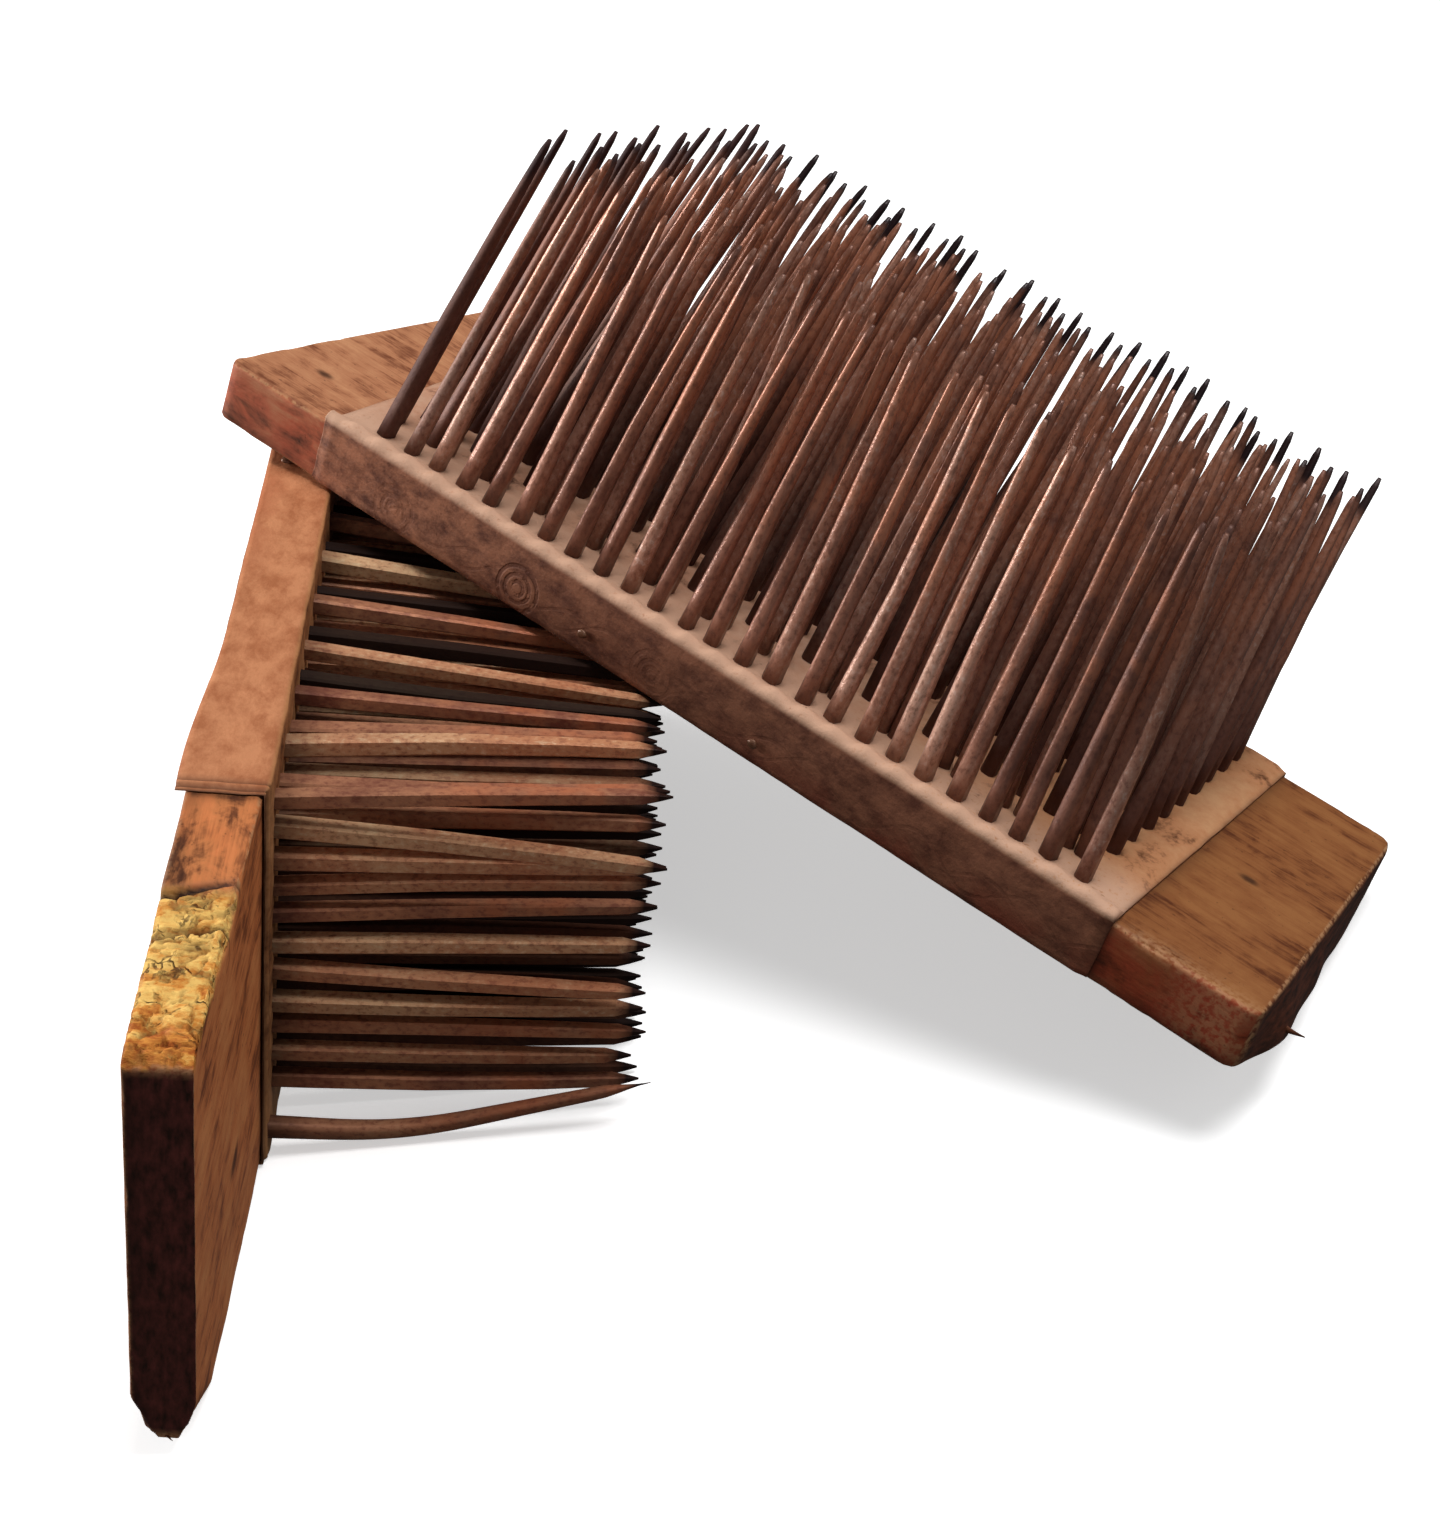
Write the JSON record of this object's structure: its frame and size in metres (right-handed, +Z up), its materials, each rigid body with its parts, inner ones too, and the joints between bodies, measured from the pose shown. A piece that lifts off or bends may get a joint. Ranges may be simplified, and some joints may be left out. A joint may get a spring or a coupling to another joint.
{
  "type": "hand carders",
  "caption": "Traditional iron-tined wool combs for opening fleece: wooden boards with a wrapped middle and a dense field of long tapered tines, the upper comb leaning on the lower.",
  "frame": {"origin": "middle of the box of the pair, at floor height", "axes": "+Z up, +Y along the lower board away from the viewer, +X to the right, the way the lower comb's tines point"},
  "size_m": [0.2926, 0.3172, 0.1912],
  "materials": {
    "wood": "worn, oiled by wool grease, one end hewn raw",
    "sheet": "thin hide sheet, stiff, tan and grey-brown, worn matt",
    "tine_iron": "hand-forged iron, rust-brown, dark at the points",
    "nail_iron": "small forged nails, dull"
  },
  "bodies": {
    "lower_comb": {"lower_board": "wood", "lower_wrap": "sheet", "lower_tine_row_01": "tine_iron", "lower_tine_row_02": "tine_iron", "lower_tine_row_03": "tine_iron", "lower_tine_row_04": "tine_iron", "lower_tine_row_05": "tine_iron", "lower_tine_row_06": "tine_iron", "lower_tine_row_07": "tine_iron", "lower_tine_row_08": "tine_iron", "lower_tine_row_09": "tine_iron", "lower_tine_row_10": "tine_iron", "lower_tine_row_11": "tine_iron", "lower_bent_tine": "tine_iron", "lower_near_nail_1": "nail_iron", "lower_near_nail_2": "nail_iron", "lower_far_nail_1": "nail_iron", "lower_far_nail_2": "nail_iron"},
    "upper_comb": {"upper_board": "wood", "upper_wrap": "sheet", "upper_tine_row_01": "tine_iron", "upper_tine_row_02": "tine_iron", "upper_tine_row_03": "tine_iron", "upper_tine_row_04": "tine_iron", "upper_tine_row_05": "tine_iron", "upper_tine_row_06": "tine_iron", "upper_tine_row_07": "tine_iron", "upper_tine_row_08": "tine_iron", "upper_tine_row_09": "tine_iron", "upper_tine_row_10": "tine_iron", "upper_tine_row_11": "tine_iron", "upper_near_nail_1": "nail_iron", "upper_near_nail_2": "nail_iron", "upper_far_nail_1": "nail_iron", "upper_far_nail_2": "nail_iron"}
  },
  "joints": [
    {"name": "upper_comb_lift", "type": "slide", "parent": "lower_comb", "child": "upper_comb", "axis": [0, 0, 1], "range_m": [0, 0.12]}
  ]
}
